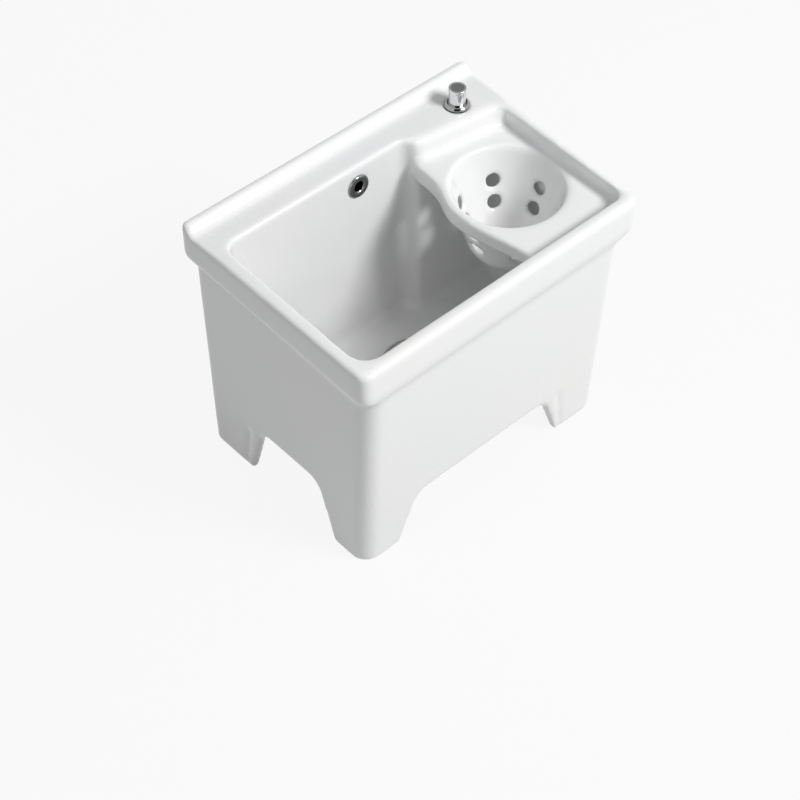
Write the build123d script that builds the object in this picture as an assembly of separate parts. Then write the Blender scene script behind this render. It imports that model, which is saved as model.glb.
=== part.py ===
from build123d import *
import math
import os

# Mop sink: one glazed ceramic tub with a perforated wringing cup, a push knob on its deck that
# lifts the drain plug through a cable, and an overflow. Millimetres. X is the width, -Y the front,
# +Z up, and the origin is on the floor under the middle of the tub.

# Tub, outside
WIDTH = 460.0
DEPTH = 320.0
DECK_HEIGHT = 387.0
UPSTAND_HEIGHT = 13.0
FRONT_DROP = 11.0
FRONT_TAPER = 5.0
UPSTAND_THICKNESS = 12.0
UPSTAND_RUN = 12.0
UPSTAND_HOLLOW_R = 22.0
LIP_CORNER = 14.0
LIP_FACE_BACK = 38.0
LIP_FACE_FRONT = 42.0
COVE_BACK = 22.0
COVE_FRONT = 32.0
SIDE_INSET = 16.5
FRONT_INSET = 9.0
SIDE_BATTER = 4.5
FRONT_BATTER = 15.0
BODY_CORNER = 24.0
REAR_CORNER = 8.0
REAR_SPARE = 1.0
RIM_ROUND = 6.0
UPSTAND_ROUND = 5.0
UPSTAND_SEAT = 1.5
LIP_SECTIONS = 5
ROUND_SECTIONS = 4

# Tub, inside
RIM_LEFT = 21.0
RIM_RIGHT = 13.0
RIM_FRONT = 18.5
DECK_LEFT = 56.0
DECK_LEVEL = 78.0
STEP_LEFT = 76.0
STEP_RIGHT = 95.0
STEP_LEAN = 0.14
UNDER_STEP = 84.0
POCKET_FROM_SIDE = 154.0
POCKET_RUN = 8.0
DRAFT_ANGLE = 3.5
TUB_FLOOR = 122.0
TUB_CORNER = 26.0
TUB_BACK_CORNER = 18.0
TUB_FLOOR_ROUND = 16.0
POCKET_ROUND = 17.0
POCKET_NOSE = 8.0
SHELF_CORNER = 13.0
FLOOR_THICKNESS = 15.0
DECK_THICKNESS = 12.0
BACK_WALL = 9.0
SKIRT_WALL = 13.0
UNDERSIDE_CORNER = 10.0

# Shelf and wringing cup
SHELF_BELOW_DECK = 27.0
SHELF_FALL = 7.0
SHELF_THICKNESS = 24.0
SHELF_EDGE_ROUND = 4.0
SHELF_UNDER_ROUND = 8.0
UNDER_SHELF_STEP = 8.0
SHELF_ROOT = (-4.0, 14.0)
SHELF_EDGE = (
    (-62.5, 84.0), (-64.5, 66.0), (-70.5, 48.0), (-79.5, 29.0),
    (-83.5, 5.0), (-80.5, -28.0), (-73.6, -59.0), (-67.5, -92.0))
CUP_FROM_SIDE = 93.0
CUP_FROM_FRONT = 138.0
CUP_MOUTH_R = 73.5
CUP_DEPTH = 143.5
CUP_BOTTOM_R = 35.0
CUP_ROUND = 42.0
CUP_WALL = 6.5
CUP_HOLE_R = 8.7
CUP_HOLES_ROUND = 6
CUP_HOLE_ROWS = (71.0, 43.0)
CUP_HOLE_REACH = 12.0
CUP_HOLES_TURN = 3.0

# Arches between the feet, and the opening in the back
ARCH_TOP = 94.0
ARCH_FRONT_TOP = 78.0
SIDE_ARCH_LEAN = 16.0
FRONT_ARCH_LEAN = 20.0
ARCH_ROUND = 26.0
SIDE_FOOT_FRONT = 59.0
SIDE_FOOT_BACK = 77.0
FRONT_FOOT_LEFT = 60.0
FRONT_FOOT_RIGHT = 74.0
BACK_FOOT = 40.0
BACK_OPENING_BELOW_DECK = 57.0
BACK_OPENING_ROUND = 30.0
FLUTE_R = 6.0
FLUTE_OUT = 4.0
FLUTE_HEIGHT = 78.0
FLUTE_FROM_SIDE_ARCH = 12.0
FLUTE_FROM_FRONT_ARCH = 8.0
FLUTE_LEAN = 9.0

# Fits
RUNNING = 0.08
SEAT_GAP = 0.3
HOLE_GAP = 0.5
THREAD_GAP = 0.05
ARC_SHARE = 0.45

# Knob and its sleeve on the deck
KNOB_FROM_SIDE = 59.4
KNOB_FROM_BACK = 53.6
KNOB_R = 11.0
KNOB_ABOVE_DECK = 28.0
KNOB_LENGTH = 43.0
KNOB_CAP_R = 11.6
KNOB_CAP_HEIGHT = 3.5
TRAVEL = 12.0
COLLAR_R = 16.5
COLLAR_HEIGHT = 4.2
COLLAR_ROUND = 2.0
KNOB_CAP_ROUND = 0.8
SLEEVE_R = 13.0
SLEEVE_LENGTH = 62.0
DECK_GASKET_THICKNESS = 1.2
DECK_WASHER_THICKNESS = 2.2
DECK_WASHER_R = 16.0
DECK_NUT_HEIGHT = 7.0
DECK_NUT_FLATS = 30.0
SPINDLE_R = 4.0
SPINDLE_CLEARANCE = 2.0
SLEEVE_CAP_FLOOR = 4.0
SLEEVE_CAP_HEIGHT = 12.0
SLEEVE_CAP_WALL = 3.0
SEAL_SECTION = 2.4
SEAL_BELOW_COLLAR = 8.0

# Cable
SHEATH_R = 2.5
SHEATH_BORE_R = 1.3
WIRE_R = 0.9
WIRE_GRIP = 14.0
WIRE_GAP = 1.0
FERRULE_R = 3.6
FERRULE_LENGTH = 14.0
CABLE_BELOW_KNOB = ((0.0, 0.0, -42.2), (-1.0, 7.0, -96.2), (-5.0, 11.0, -152.2), (-12.0, 8.0, -206.2))
CABLE_FROM_DRAIN = (
    (150.0, 111.0, 76.0), (128.0, 84.0, 40.0), (98.0, 55.0, 19.0), (68.0, 32.0, 10.5),
    (41.0, 17.0, 8.5), (20.0, 8.4, 8.5), (7.4, 3.1, 15.5), (0.0, 0.0, 29.0))

# Drain
DRAIN_X = 0.0
DRAIN_FROM_BACK = 172.0
DRAIN_SEAT_DEPTH = 3.0
DRAIN_SEAT_GAP = 1.5
DRAIN_FLANGE_R = 52.0
DRAIN_FLANGE_THICKNESS = 2.6
DRAIN_GASKET_THICKNESS = 1.5
DRAIN_HOLE_R = 40.0
SHANK_R = 38.0
SHANK_BORE_R = 34.0
SHANK_BOTTOM = 78.0
SEAT_DEPTH = 9.0
SEAT_R = 37.0
DISH_R = 45.0
PLUG_R = 36.0
PLUG_THICKNESS = 3.6
PLUG_SEAL_THICKNESS = 2.0
PLUG_DOME = 2.4
PLUG_HUB_R = 24.0
PLUG_HUB_DROP = 1.5
STEM_R = 3.5
GUIDE_BOTTOM = 80.0
GUIDE_HEIGHT = 6.0
GUIDE_SPOKES = 3
GUIDE_SPOKE_WIDTH = 3.0
GUIDE_BOSS_R = 7.5
GUIDE_RING = 3.0
UNDER_GASKET_THICKNESS = 4.0
DRAIN_NUT_HEIGHT = 9.0
DRAIN_NUT_R = 53.0
DRAIN_NUT_LUGS = 8
NUT_LUG_WIDTH = 7.0
NUT_LUG_REACH = 3.0
BODY_COLLAR_R = 42.0
BODY_R = 39.5
BODY_BORE_R = 36.0
BODY_FLOOR = 3.5
BODY_SHOULDER = 3.0
BODY_TOP = 91.0
BODY_BOTTOM = 42.0
BODY_GASKET_THICKNESS = 2.0
LIFTER_R = 4.0
LIFTER_BOTTOM = 57.0
LIFTER_TOP = 66.0
GLAND_R = 7.0
GLAND_TOP = 64.0
GLAND_HEAD_HEIGHT = 5.0
GLAND_HEAD_FLATS = 19.0
GLAND_NUT_HEIGHT = 5.0
SHEATH_END_LOW = 53.0

# Outlet
OUTLET_Z = 61.5
OUTLET_R = 17.0
OUTLET_WALL = 2.6
SPIGOT_REACH = 62.0
ELBOW_REACH = 96.0
ELBOW_END = 9.0
ELBOW_BEND = 26.0
OUTLET_NUT_R = 25.0
OUTLET_NUT_LENGTH = 16.0
OUTLET_NUT_LUGS = 8
OUTLET_WASHER_LENGTH = 4.0

# Overflow
OVERFLOW_X = 0.0
OVERFLOW_BELOW_DECK = 30.5
OVERFLOW_RING_R = 16.0
OVERFLOW_RING_THICKNESS = 3.0
OVERFLOW_RING_ROUND = 1.4
OVERFLOW_BARREL_R = 10.5
OVERFLOW_BORE_R = 7.0
OVERFLOW_THREAD = 8.0
OVERFLOW_FLANGE_THICKNESS = 3.0
OVERFLOW_GASKET_THICKNESS = 2.0
OVERFLOW_FLANGE_R = 17.0
OVERFLOW_BODY_R = 13.5
OVERFLOW_BODY_LENGTH = 20.0
HOSE_R = 11.0
HOSE_BORE_R = 8.6
NIPPLE_R = 8.3
NIPPLE_BORE_R = 6.3
NIPPLE_LENGTH = 20.0
NIPPLE_SHOULDER = 1.0
CLIP_R = 12.2
CLIP_LENGTH = 8.0
CLIP_SCREW = 7.0
HOSE_STRAIGHT = 44.0
INLET_Z = 66.0
INLET_ANGLE = 135.0
INLET_REACH = 68.0
HOSE_FROM_OVERFLOW = ((-12.0, -32.0, -100.0), (-40.0, -32.0, -138.0))
HOSE_FROM_DRAIN = ((-64.0, 139.0, 168.0), (-85.0, 136.0, 126.0), (-90.0, 120.0, 90.0), (-82.0, 92.0, 70.0))

# Values that follow from the ones above
HALF_WIDTH = WIDTH / 2
POCKET_START = HALF_WIDTH - POCKET_FROM_SIDE
HALF_DEPTH = DEPTH / 2
BACK_HEIGHT = DECK_HEIGHT + UPSTAND_HEIGHT
FRONT_HEIGHT = DECK_HEIGHT - FRONT_DROP
SHELF_BACK = DECK_HEIGHT - SHELF_BELOW_DECK
SHELF_FRONT = SHELF_BACK - SHELF_FALL
CUP_X = HALF_WIDTH - CUP_FROM_SIDE
CUP_Y = CUP_FROM_FRONT - HALF_DEPTH
CUP_BOTTOM = DECK_HEIGHT - CUP_DEPTH
BACK_OPENING_TOP = DECK_HEIGHT - BACK_OPENING_BELOW_DECK
DRAFT = math.tan(math.radians(DRAFT_ANGLE))
DECK_Y = HALF_DEPTH - UPSTAND_THICKNESS - UPSTAND_RUN
DECK_EDGE_Y = HALF_DEPTH - DECK_LEVEL
FLOOR_UNDERSIDE = TUB_FLOOR - FLOOR_THICKNESS
KNOB_X = HALF_WIDTH - KNOB_FROM_SIDE
KNOB_Y = HALF_DEPTH - KNOB_FROM_BACK
DRAIN_Y = HALF_DEPTH - DRAIN_FROM_BACK
OVERFLOW_Z = DECK_HEIGHT - OVERFLOW_BELOW_DECK
DRAIN_SEAT = TUB_FLOOR - DRAIN_SEAT_DEPTH


def solid_ring(outer, inner, low, high, x=0.0, y=0.0):
    """Upright ring about (x, y) between two heights; no bore when inner is 0."""
    height = high - low
    place = Pos(x, y, (low + high) / 2)
    ring = place * Cylinder(outer, height)
    if inner > 0:
        ring -= place * Cylinder(inner, 2 * height)
    return ring


def hex_prism(flats, low, high, x, y):
    face = RegularPolygon(flats / 2, 6, major_radius=False)
    return Pos(x, y, low) * extrude(face, high - low)


def turned(profile, x, y):
    """Solid of revolution about the upright axis at (x, y) from (radius, height) points."""
    face = make_face(Polyline(*[(r, 0, z) for r, z in profile], close=True))
    return Pos(x, y, 0) * revolve(face, Axis.Z)


def rounded_loop(points, radii):
    """Planar face inside a closed 3D polygon whose corners have their own radii."""
    return make_face(FilletPolyline(*points, radius=radii, close=True))


def stack(faces, ruled=True):
    return loft(faces, ruled=ruled)


def tilted_outline(z_back, z_front, half_back, half_front, y_front, corner, rear_corner):
    """Outline on a plane that tilts about X; its sides reach half_back where the rear corners start."""
    slope = (half_back - half_front) / (HALF_DEPTH - rear_corner - y_front)
    rear = HALF_DEPTH + REAR_SPARE
    half_rear = half_back + slope * (rear_corner + REAR_SPARE)
    points = [
        (-half_rear, rear, z_back),
        (half_rear, rear, z_back),
        (half_front, y_front, z_front),
        (-half_front, y_front, z_front),
    ]
    return rounded_loop(points, [rear_corner + REAR_SPARE, rear_corner + REAR_SPARE, corner, corner])


def shelf_height(y):
    return SHELF_FRONT + (SHELF_BACK - SHELF_FRONT) * (y + HALF_DEPTH) / (DECK_EDGE_Y + HALF_DEPTH)


def half_front_body():
    return HALF_WIDTH - SIDE_INSET - FRONT_TAPER / 2


def outer_shape():
    """Skirt, cove and lip, closed on top by the level deck, the sloping rim and the upstand."""
    rim_back = FRONT_HEIGHT + (DECK_HEIGHT - FRONT_HEIGHT) * DEPTH / (DECK_EDGE_Y + HALF_DEPTH)
    lip_back = rim_back - LIP_FACE_BACK
    lip_front = FRONT_HEIGHT - LIP_FACE_FRONT
    half_back = HALF_WIDTH - SIDE_INSET
    half_front = half_front_body()
    half_front_lip = HALF_WIDTH - FRONT_TAPER
    y_body = -HALF_DEPTH + FRONT_INSET

    floor_face = tilted_outline(
        0, 0, half_back - SIDE_BATTER, half_front - SIDE_BATTER / 2, y_body + FRONT_BATTER,
        BODY_CORNER, REAR_CORNER)
    cove = []
    for step in range(LIP_SECTIONS):
        part = step / (LIP_SECTIONS - 1)
        ease = (1 - math.cos(math.pi * part)) / 2
        cove.append(tilted_outline(
            lip_back - COVE_BACK * (1 - part),
            lip_front - COVE_FRONT * (1 - part),
            half_back + SIDE_INSET * ease,
            half_front + (half_front_lip - half_front) * ease,
            y_body - FRONT_INSET * ease,
            BODY_CORNER + (LIP_CORNER - BODY_CORNER) * ease,
            REAR_CORNER))
    rounding = []
    for step in range(ROUND_SECTIONS):
        angle = math.pi / 2 * step / (ROUND_SECTIONS - 1)
        inset = RIM_ROUND * (1 - math.cos(angle))
        drop = RIM_ROUND * (1 - math.sin(angle))
        rounding.append(tilted_outline(
            rim_back - drop, FRONT_HEIGHT - drop, HALF_WIDTH - inset, half_front_lip - inset,
            -HALF_DEPTH + inset, LIP_CORNER - inset, REAR_CORNER))
    block = stack([floor_face, cove[0]]) + stack(cove, ruled=False)
    block += stack([cove[-1], rounding[0]]) + stack(rounding, ruled=False)
    over_deck = Pos(0, DECK_EDGE_Y + DEPTH, DECK_HEIGHT + DEPTH) * Box(2 * WIDTH, 2 * DEPTH, 2 * DEPTH)
    behind = Pos(0, HALF_DEPTH + DEPTH, 0) * Box(2 * WIDTH, 2 * DEPTH, 4 * DECK_HEIGHT)
    return block - over_deck + upstand() - behind


def upstand():
    """Raised edge along the wall, with a hollow slope down to the deck."""
    crest_y = HALF_DEPTH - UPSTAND_THICKNESS
    low = DECK_HEIGHT - UPSTAND_SEAT
    rear = HALF_DEPTH + REAR_SPARE
    section = Polyline((DECK_Y, low), (rear, low), (rear, BACK_HEIGHT), (crest_y, BACK_HEIGHT))
    section += RadiusArc((crest_y, BACK_HEIGHT), (DECK_Y, DECK_HEIGHT), UPSTAND_HOLLOW_R)
    section += Line((DECK_Y, DECK_HEIGHT), (DECK_Y, low))
    bar_shape = extrude(Plane.YZ * make_face(section), HALF_WIDTH, both=True)
    rear_edges = bar_shape.edges().filter_by(Axis.Z).group_by(Axis.Y)[-1]
    bar_shape = fillet(rear_edges, REAR_CORNER + REAR_SPARE)
    crest = bar_shape.edges().filter_by_position(Axis.Z, BACK_HEIGHT - 0.1, BACK_HEIGHT + 0.1)
    return fillet(crest, UPSTAND_ROUND)


def drawn_in(corners, distance):
    """Plan corners of a loop whose sides have all moved inwards by a distance."""
    moved = []
    for number, here in enumerate(corners):
        before = Vector(*corners[number - 1])
        after = Vector(*corners[(number + 1) % len(corners)])
        first = (Vector(*here) - before).normalized()
        second = (after - Vector(*here)).normalized()
        normals = Vector(-first.Y - second.Y, first.X + second.X)
        spot = Vector(*here) + normals * (distance / (1 + first.dot(second)))
        moved.append((spot.X, spot.Y))
    return moved


def tub_corners(right_wall, step_right, lean=0.0):
    """Plan corners of the tub's hollow, with the step in its back wall at the right."""
    return [
        (-HALF_WIDTH + RIM_LEFT, -HALF_DEPTH + RIM_FRONT),
        (right_wall, -HALF_DEPTH + RIM_FRONT),
        (right_wall, HALF_DEPTH - step_right + lean),
        (POCKET_START + POCKET_RUN, HALF_DEPTH - STEP_LEFT + lean),
        (POCKET_START, HALF_DEPTH - DECK_LEFT),
        (-HALF_WIDTH + RIM_LEFT, HALF_DEPTH - DECK_LEFT),
    ]


def tub_loop(z, corners):
    """Plan outline of the tub's hollow at one height, drawn in by the draft angle."""
    return [(x, y, z) for x, y in drawn_in(corners, (DECK_HEIGHT - z) * DRAFT)]


def low_corners():
    """Plan corners of the hollow under the shelf."""
    return tub_corners(HALF_WIDTH - RIM_RIGHT - UNDER_SHELF_STEP, UNDER_STEP)


def high_corners(z):
    """Plan corners of the hollow above the shelf, where the step leans back as it rises."""
    return tub_corners(HALF_WIDTH - RIM_RIGHT, STEP_RIGHT, (z - SHELF_BACK) * STEP_LEAN)


def tub_hollow():
    """Room of the tub: a lower part that runs under the shelf and an upper part that is wider."""
    step_z = SHELF_FRONT - SHELF_THICKNESS / 2
    top_z = BACK_HEIGHT + TUB_CORNER
    pocket_radii = [POCKET_NOSE, POCKET_ROUND, TUB_BACK_CORNER]
    low_radii = [TUB_CORNER, TUB_CORNER, TUB_BACK_CORNER] + pocket_radii
    high_radii = [TUB_CORNER, SHELF_CORNER, SHELF_CORNER] + pocket_radii
    low = stack([rounded_loop(tub_loop(z, low_corners()), low_radii) for z in (TUB_FLOOR, step_z)])
    floor_edges = low.faces().sort_by(Axis.Z)[0].edges()
    low = fillet(floor_edges, TUB_FLOOR_ROUND)
    high = stack([rounded_loop(tub_loop(z, high_corners(z)), high_radii) for z in (step_z, top_z)])
    return low, high


def underside():
    """Hollow under the tub's floor and the space behind the tub for the cable and the overflow hose."""
    half = HALF_WIDTH - SIDE_INSET - SIDE_BATTER - SKIRT_WALL
    front = -HALF_DEPTH + FRONT_INSET + FRONT_BATTER + SKIRT_WALL
    rear = HALF_DEPTH - SKIRT_WALL
    plinth = Pos(0, (front + rear) / 2, FLOOR_UNDERSIDE / 2) * Box(
        2 * half, rear - front, FLOOR_UNDERSIDE)
    plinth = fillet(plinth.edges().filter_by(Axis.Z), UNDERSIDE_CORNER)
    ceiling = DECK_HEIGHT - DECK_THICKNESS
    layers = []
    for z in (FLOOR_UNDERSIDE - TUB_FLOOR_ROUND, ceiling):
        wall = drawn_in(low_corners(), (DECK_HEIGHT - z) * DRAFT - BACK_WALL)
        far, near, inner, left = wall[2:]
        side_y = near[1] + (far[1] - near[1]) * (half - near[0]) / (far[0] - near[0])
        corners = [(-half, rear), (half, rear), (half, side_y), near, inner, (-half, left[1])]
        layers.append(make_face(Polyline(*[(x, y, z) for x, y in corners], close=True)))
    return plinth, stack(layers)


def arch(low_a, low_b, top, lean):
    """Arch outline between two feet, in its own plane; its sides lean in from where they meet the floor."""
    run = math.tan(math.radians(lean))
    below = ARCH_ROUND * run
    above = top * run
    return rounded_loop(
        [(low_a - below, -ARCH_ROUND), (low_a + above, top),
         (low_b - above, top), (low_b + below, -ARCH_ROUND)],
        [0, ARCH_ROUND, ARCH_ROUND, 0])


def arches():
    side = arch(
        -HALF_DEPTH + SIDE_FOOT_FRONT + FRONT_INSET + FRONT_BATTER, HALF_DEPTH - SIDE_FOOT_BACK,
        ARCH_TOP, SIDE_ARCH_LEAN)
    sides = extrude(Plane.YZ * side, WIDTH, both=True)
    half_floor = half_front_body() - SIDE_BATTER
    front = arch(
        -half_floor + FRONT_FOOT_LEFT, half_floor - FRONT_FOOT_RIGHT, ARCH_FRONT_TOP, FRONT_ARCH_LEAN)
    front_cut = extrude(Plane.XZ * front, DEPTH)
    half_back = HALF_WIDTH - SIDE_INSET - SIDE_BATTER - BACK_FOOT
    back = rounded_loop(
        [(-half_back, -1), (-half_back, BACK_OPENING_TOP), (half_back, BACK_OPENING_TOP), (half_back, -1)],
        [0, BACK_OPENING_ROUND, BACK_OPENING_ROUND, 0])
    back_cut = Pos(0, HALF_DEPTH - SKIRT_WALL - 1, 0) * extrude(Plane.XZ * back, -2 * SKIRT_WALL)
    return sides, front_cut, back_cut


def flutes():
    """Shallow grooves beside the arches, on the left rear foot and the right front foot."""
    outer_x = HALF_WIDTH - SIDE_INSET - SIDE_BATTER
    outer_y = HALF_DEPTH - FRONT_INSET - FRONT_BATTER
    side = Pos(-outer_x - FLUTE_OUT, HALF_DEPTH - SIDE_FOOT_BACK + FLUTE_FROM_SIDE_ARCH, 0)
    front_x = half_front_body() - SIDE_BATTER - FRONT_FOOT_RIGHT + FLUTE_FROM_FRONT_ARCH
    front = Pos(front_x, -outer_y - FLUTE_OUT, 0)
    groove = Cylinder(FLUTE_R, 2 * FLUTE_HEIGHT) + Pos(0, 0, FLUTE_HEIGHT) * Sphere(FLUTE_R)
    front_slope = math.degrees(math.atan2(FRONT_BATTER, FRONT_HEIGHT - LIP_FACE_FRONT - COVE_FRONT))
    return side * Rot(FLUTE_LEAN, 0, 0) * groove, front * Rot(front_slope, -FLUTE_LEAN, 0) * groove


def shelf():
    """Shelf that carries the cup, with its curved free edge towards the tub."""
    front = -HALF_DEPTH + RIM_FRONT / 2
    nose = high_corners(SHELF_BACK)[3]
    rear_right, rear_left = drawn_in(high_corners(SHELF_BACK), -BACK_WALL / 2)[2:4]
    root = (nose[0] + SHELF_ROOT[0], nose[1] + SHELF_ROOT[1])
    middle = [(CUP_X + x, CUP_Y + y) for x, y in SHELF_EDGE]
    end = (middle[-1][0], front)
    edge = Spline(root, *middle, end)
    plan = make_face(edge + Polyline(end, (rear_right[0], front), rear_right, rear_left, root))
    low = SHELF_FRONT - SHELF_THICKNESS
    plate = Pos(0, 0, low) * extrude(plan, 2 * SHELF_THICKNESS)
    step_x = HALF_WIDTH - RIM_RIGHT - 0.75 * UNDER_SHELF_STEP
    plate -= Pos(step_x + WIDTH / 2, 0, low) * Box(WIDTH, DEPTH, SHELF_THICKNESS)
    far = DEPTH
    above = Plane.YZ * make_face(Polyline(
        (-far, shelf_height(-far)), (far, shelf_height(far)), (far, BACK_HEIGHT + far),
        (-far, BACK_HEIGHT + far), close=True))
    plate -= extrude(above, WIDTH, both=True)
    free_edges = plate.edges().filter_by(GeomType.BSPLINE).sort_by(Axis.Z)
    plate = fillet(free_edges[0], SHELF_UNDER_ROUND)
    free_edges = plate.edges().filter_by_position(
        Axis.Z, SHELF_FRONT - SHELF_EDGE_ROUND, SHELF_BACK + SHELF_EDGE_ROUND)
    curved = [edge for edge in free_edges if edge.geom_type == GeomType.BSPLINE]
    return fillet(curved, SHELF_EDGE_ROUND)


def cup_slope():
    return (CUP_MOUTH_R - CUP_BOTTOM_R) / (SHELF_BACK - CUP_BOTTOM)


def cup_profile(wall):
    """Half section of the cup's hollow, or of its outside when wall is its thickness."""
    slope = cup_slope()
    length = math.hypot(1, slope)
    bottom = CUP_BOTTOM - wall
    corner = CUP_BOTTOM_R + wall * length - wall * slope
    top = SHELF_FRONT - SHELF_THICKNESS / 2 if wall else BACK_HEIGHT
    mouth = corner + (top - bottom) * slope
    round_r = CUP_ROUND + wall
    side = FilletPolyline((0, bottom), (corner, bottom), (mouth, top), radius=[round_r])
    return make_face(side + Polyline((mouth, top), (0, top), (0, bottom)))


def cup_solid(wall):
    return Pos(CUP_X, CUP_Y, 0) * revolve(Plane.XZ * cup_profile(wall), Axis.Z)


def cup_wall_at(height):
    """Radius inside the cup at a height, and the angle by which the wall there faces down."""
    lean = math.atan(cup_slope())
    round_z = CUP_BOTTOM + CUP_ROUND
    round_x = CUP_BOTTOM_R + cup_slope() * CUP_ROUND - CUP_ROUND / math.cos(lean)
    if height > round_z - CUP_ROUND * math.sin(lean):
        return CUP_BOTTOM_R + cup_slope() * (height - CUP_BOTTOM), lean
    fall = math.asin((round_z - height) / CUP_ROUND)
    return round_x + CUP_ROUND * math.cos(fall), fall


def cup_holes():
    """Rows of drain holes, each square to the cup's wall."""
    inward = Cylinder(CUP_HOLE_R, CUP_MOUTH_R - CUP_BOTTOM_R, align=(Align.CENTER, Align.CENTER, Align.MAX))
    cutter = inward + Cylinder(CUP_HOLE_R, CUP_HOLE_REACH, align=(Align.CENTER, Align.CENTER, Align.MIN))
    holes = []
    for rise in CUP_HOLE_ROWS:
        radius, fall = cup_wall_at(CUP_BOTTOM + rise)
        for number in range(CUP_HOLES_ROUND):
            angle = CUP_HOLES_TURN + 360 * number / CUP_HOLES_ROUND
            base = Pos(CUP_X, CUP_Y, CUP_BOTTOM + rise) * Rot(0, 0, angle) * Pos(radius, 0, 0)
            holes.append(base * Rot(0, 90 + math.degrees(fall), 0) * cutter)
    return holes


def ceramic_body():
    low, high = tub_hollow()
    body = outer_shape()
    body -= low
    body -= high
    plate = shelf()
    body += plate
    body += cup_solid(CUP_WALL)
    body -= cup_solid(0.0)
    plinth, chase = underside()
    body -= plinth
    body -= chase
    for cutter in arches() + tuple(cup_holes()):
        body -= cutter
    body -= solid_ring(DRAIN_HOLE_R, 0, 0, BACK_HEIGHT / 2, DRAIN_X, DRAIN_Y)
    body -= solid_ring(
        DRAIN_FLANGE_R + DRAIN_SEAT_GAP, 0, DRAIN_SEAT, BACK_HEIGHT / 2, DRAIN_X, DRAIN_Y)
    body -= solid_ring(
        SLEEVE_R + HOLE_GAP, 0, DECK_HEIGHT - 2 * DECK_THICKNESS, BACK_HEIGHT, KNOB_X, KNOB_Y)
    for cutter in flutes():
        body -= cutter
    body -= overflow_place() * Cylinder(OVERFLOW_BARREL_R + HOLE_GAP, 4 * BACK_WALL)
    return body


def drain_place():
    return Pos(DRAIN_X, DRAIN_Y, 0)


def control_knob():
    """Chrome plunger with a slightly wider cap and a groove for its seal."""
    top = DECK_HEIGHT + KNOB_ABOVE_DECK
    low = top - KNOB_LENGTH
    knob = solid_ring(KNOB_R, 0, low, top - KNOB_CAP_HEIGHT, KNOB_X, KNOB_Y)
    cap = solid_ring(KNOB_CAP_R, 0, top - KNOB_CAP_HEIGHT, top, KNOB_X, KNOB_Y)
    cap = fillet(cap.edges().sort_by(Axis.Z)[-1], KNOB_CAP_ROUND)
    groove = seal_height()
    return knob + cap - solid_ring(
        KNOB_R + 1, KNOB_R - SEAL_SECTION, groove, groove + SEAL_SECTION, KNOB_X, KNOB_Y)


def seal_height():
    return DECK_HEIGHT - SEAL_BELOW_COLLAR


def knob_seal():
    low = seal_height()
    return solid_ring(
        KNOB_R, KNOB_R - SEAL_SECTION, low, low + SEAL_SECTION, KNOB_X, KNOB_Y)


def sleeve_bottom():
    return DECK_HEIGHT + DECK_GASKET_THICKNESS - SLEEVE_LENGTH


def sheath_end_high():
    return sleeve_bottom() + SLEEVE_CAP_FLOOR


def spindle_bottom():
    """The spindle stops clear of the sheath's end when the knob is pressed all the way."""
    return sheath_end_high() + TRAVEL + SPINDLE_CLEARANCE


def knob_spindle():
    knob_bottom = DECK_HEIGHT + KNOB_ABOVE_DECK - KNOB_LENGTH
    return solid_ring(SPINDLE_R, 0, spindle_bottom(), knob_bottom, KNOB_X, KNOB_Y)


def knob_wire():
    """The wire's upper end: it stays in the sheath's mouth at both ends of the travel."""
    return solid_ring(
        WIRE_R, 0, sheath_end_high() - WIRE_GRIP, spindle_bottom(), KNOB_X, KNOB_Y)


def deck_flange():
    """Collar on the deck and the long sleeve under it, in one piece."""
    low = DECK_HEIGHT + DECK_GASKET_THICKNESS
    collar = solid_ring(COLLAR_R, 0, low, low + COLLAR_HEIGHT, KNOB_X, KNOB_Y)
    collar = fillet(collar.edges().sort_by(Axis.Z)[-1], COLLAR_ROUND)
    sleeve = solid_ring(SLEEVE_R, 0, sleeve_bottom(), low, KNOB_X, KNOB_Y)
    bore = solid_ring(
        KNOB_R + RUNNING, 0, sleeve_bottom() - 1, low + COLLAR_HEIGHT + 1, KNOB_X, KNOB_Y)
    return collar + sleeve - bore


def deck_gasket():
    return solid_ring(
        COLLAR_R - HOLE_GAP, SLEEVE_R + THREAD_GAP, DECK_HEIGHT,
        DECK_HEIGHT + DECK_GASKET_THICKNESS, KNOB_X, KNOB_Y)


def deck_washer():
    high = DECK_HEIGHT - DECK_THICKNESS
    return solid_ring(
        DECK_WASHER_R, SLEEVE_R + THREAD_GAP, high - DECK_WASHER_THICKNESS, high, KNOB_X, KNOB_Y)


def deck_nut():
    high = DECK_HEIGHT - DECK_THICKNESS - DECK_WASHER_THICKNESS
    nut = hex_prism(DECK_NUT_FLATS, high - DECK_NUT_HEIGHT, high, KNOB_X, KNOB_Y)
    return nut - solid_ring(
        SLEEVE_R + THREAD_GAP, 0, high - 2 * DECK_NUT_HEIGHT, high + 1, KNOB_X, KNOB_Y)


def sleeve_cap():
    """Screw cap that closes the sleeve and holds the cable's upper ferrule."""
    low = sleeve_bottom() - SLEEVE_CAP_FLOOR
    outer_r = SLEEVE_R + THREAD_GAP + SLEEVE_CAP_WALL
    cap = solid_ring(outer_r, 0, low, low + SLEEVE_CAP_HEIGHT, KNOB_X, KNOB_Y)
    cap -= solid_ring(
        SLEEVE_R + THREAD_GAP, 0, sleeve_bottom(), sleeve_bottom() + SLEEVE_CAP_HEIGHT,
        KNOB_X, KNOB_Y)
    return cap - solid_ring(
        FERRULE_R + THREAD_GAP, 0, low - 1, sleeve_bottom() + 1, KNOB_X, KNOB_Y)


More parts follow.
